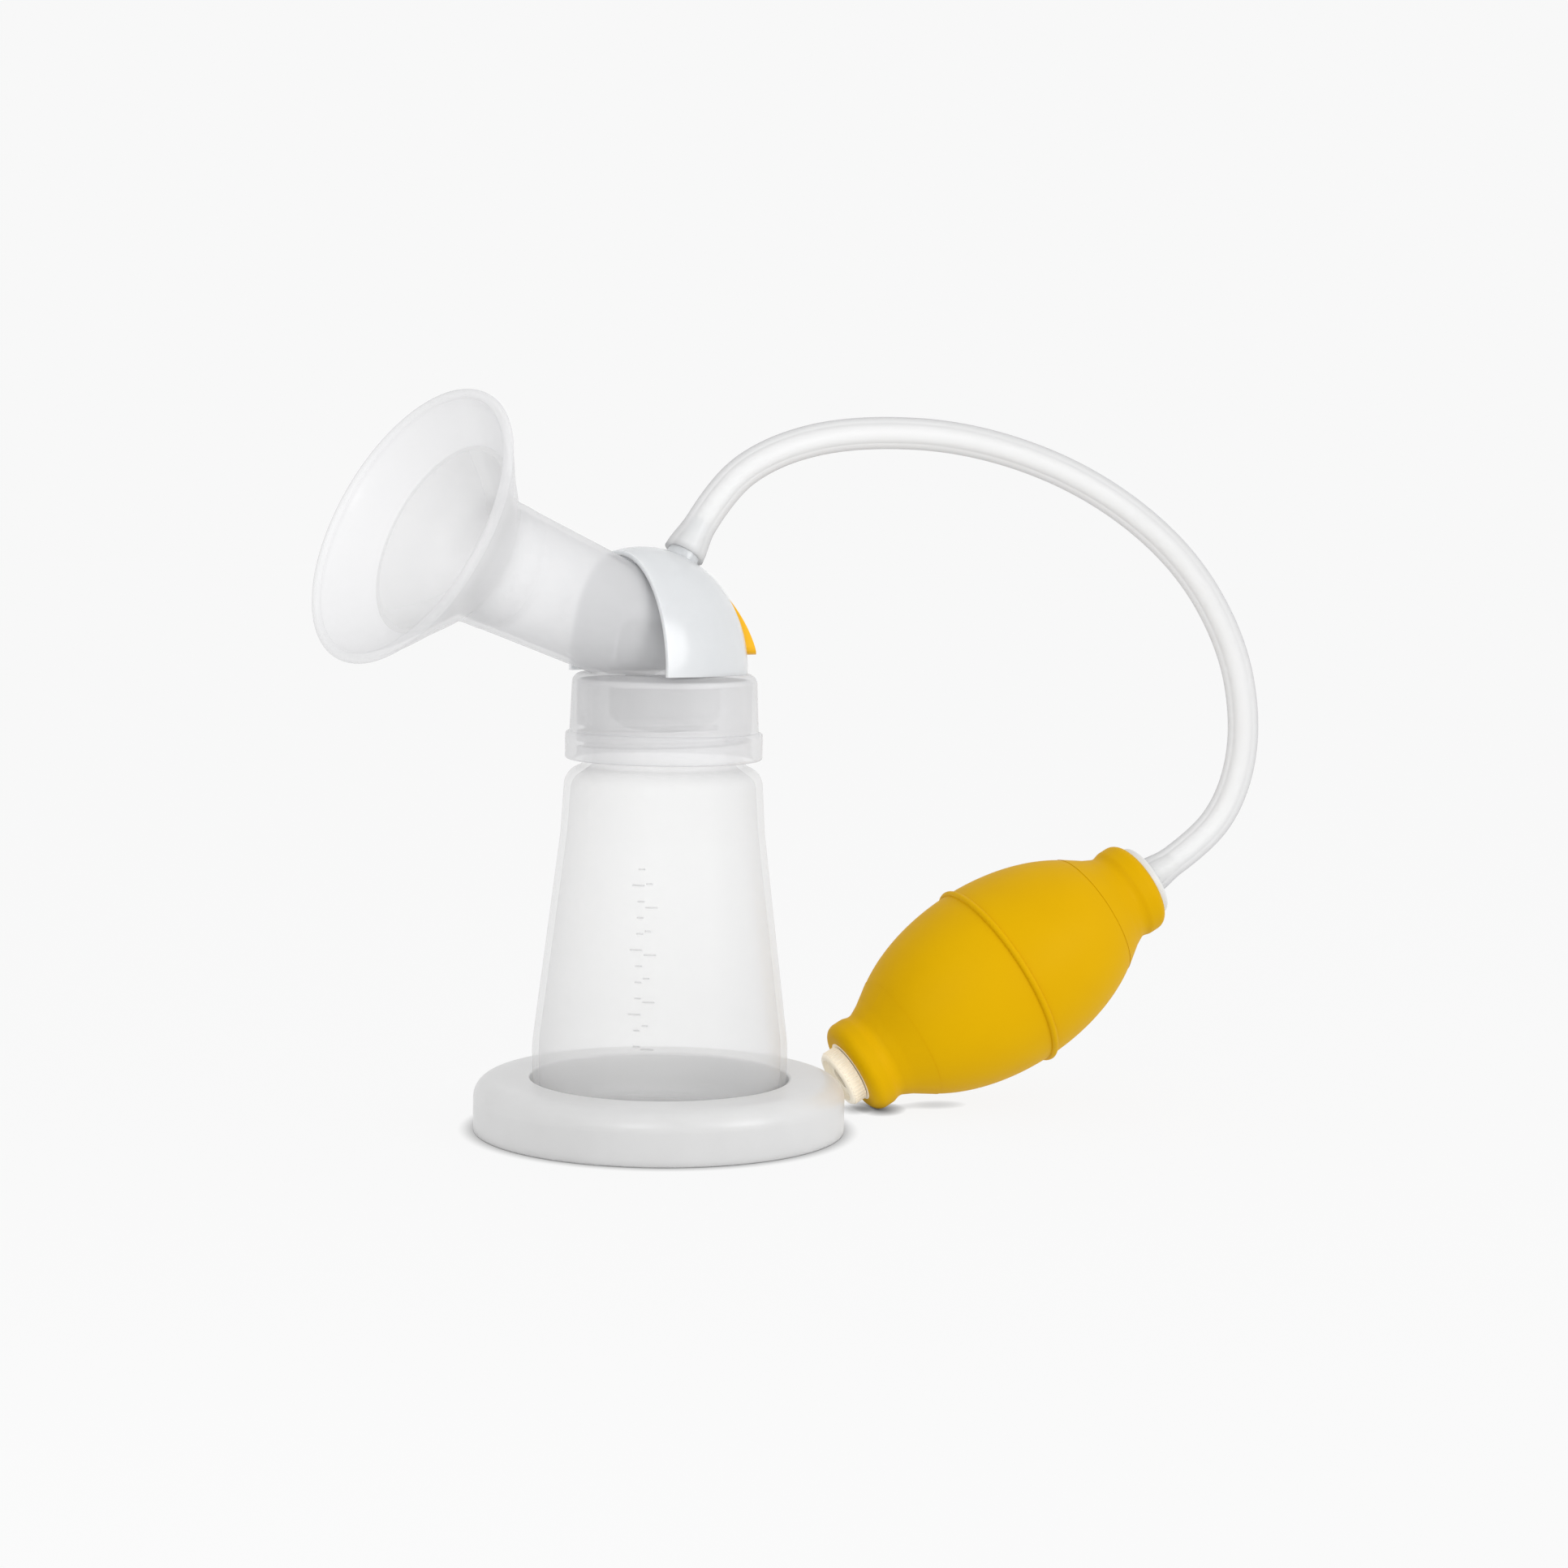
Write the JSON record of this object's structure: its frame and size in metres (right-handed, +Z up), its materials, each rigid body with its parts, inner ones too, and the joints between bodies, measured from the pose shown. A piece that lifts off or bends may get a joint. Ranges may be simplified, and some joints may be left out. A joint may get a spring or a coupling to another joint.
{
  "type": "manual breast pump",
  "caption": "Hand pump with a funnel, a threaded bottle on a round stand, a vacuum release lever and a squeeze bulb on a flexible hose.",
  "frame": {"origin": "on the bottle's axis, on the plane that the stand rests on", "axes": "+Z up along the bottle's axis; the funnel points to -X and up; the release lever is on the +X side"},
  "size_m": [0.2501, 0.095, 0.1777],
  "materials": {
    "clear_plastic": "frosted clear polypropylene",
    "milky_plastic": "milky white polypropylene",
    "white_plastic": "glossy white",
    "off_white_plastic": "smooth off-white",
    "yellow_plastic": "smooth orange-yellow",
    "yellow_rubber": "soft sheen yellow",
    "clear_silicone": "smooth translucent",
    "steel": "plain wire and pin"
  },
  "bodies": {
    "stand": {"bottle_stand": "milky_plastic"},
    "bottle": {"milk_bottle": "clear_plastic"},
    "seal_carriage": {"bottle_seal_ring": "clear_silicone"},
    "pump": {"pump_body": "clear_plastic", "milk_valve": "clear_silicone"},
    "insert": {"funnel_insert": "clear_silicone"},
    "hood": {"hood": "white_plastic", "port_seal_ring": "clear_silicone", "release_pivot_pin": "steel", "release_spring": "steel", "hose": "clear_silicone", "squeeze_bulb": "yellow_rubber", "bulb_inlet_plug": "off_white_plastic", "inlet_valve_cage": "off_white_plastic", "exhaust_valve_body": "off_white_plastic"},
    "lever": {"release_lever": "yellow_plastic", "release_pad": "clear_silicone"},
    "inlet_disc": {"inlet_valve_disc": "clear_silicone"},
    "exhaust_disc": {"exhaust_valve_disc": "clear_silicone"},
    "vent_ring": {"exhaust_knurled_ring": "off_white_plastic"}
  },
  "joints": [
    {"name": "bottle_lift", "type": "slide", "parent": "stand", "child": "bottle", "axis": [0, 0, 1], "range_m": [0, 0.04]},
    {"name": "thread_rise", "type": "slide", "parent": "bottle", "child": "seal_carriage", "axis": [0, 0, 1], "range_m": [0, 0.0041]},
    {"name": "collar_turn", "type": "hinge", "parent": "seal_carriage", "child": "pump", "pos_m": [0, 0, 0.1], "axis": [0, 0, 1], "range_deg": [0, 360]},
    {"name": "insert_pull", "type": "slide", "parent": "pump", "child": "insert", "axis": [-0.9361, 0, 0.3518], "range_m": [0, 0.03]},
    {"name": "hood_lift", "type": "slide", "parent": "pump", "child": "hood", "axis": [0, 0, 1], "range_m": [0, 0.03]},
    {"name": "lever_press", "type": "hinge", "parent": "hood", "child": "lever", "pos_m": [0.0119, 0, 0.1279], "axis": [0, 1, 0], "range_deg": [0, 6], "stiffness_Nm_per_rad": 0.05, "springref_deg": -5.73},
    {"name": "inlet_disc_lift", "type": "slide", "parent": "hood", "child": "inlet_disc", "axis": [-0.8172, 0.2894, -0.4985], "range_m": [0, 0.0008]},
    {"name": "exhaust_disc_lift", "type": "slide", "parent": "hood", "child": "exhaust_disc", "axis": [-0.8172, 0.2894, -0.4985], "range_m": [0, 0.0008]},
    {"name": "vent_ring_turn", "type": "hinge", "parent": "hood", "child": "vent_ring", "pos_m": [0.05217, -0.00877, 0.00882], "axis": [0.8172, -0.2894, 0.4985], "range_deg": [0, 180]}
  ],
  "couplings": [
    {"joint": "thread_rise", "follows": "collar_turn", "m_per_rad": 0.00063662}
  ]
}
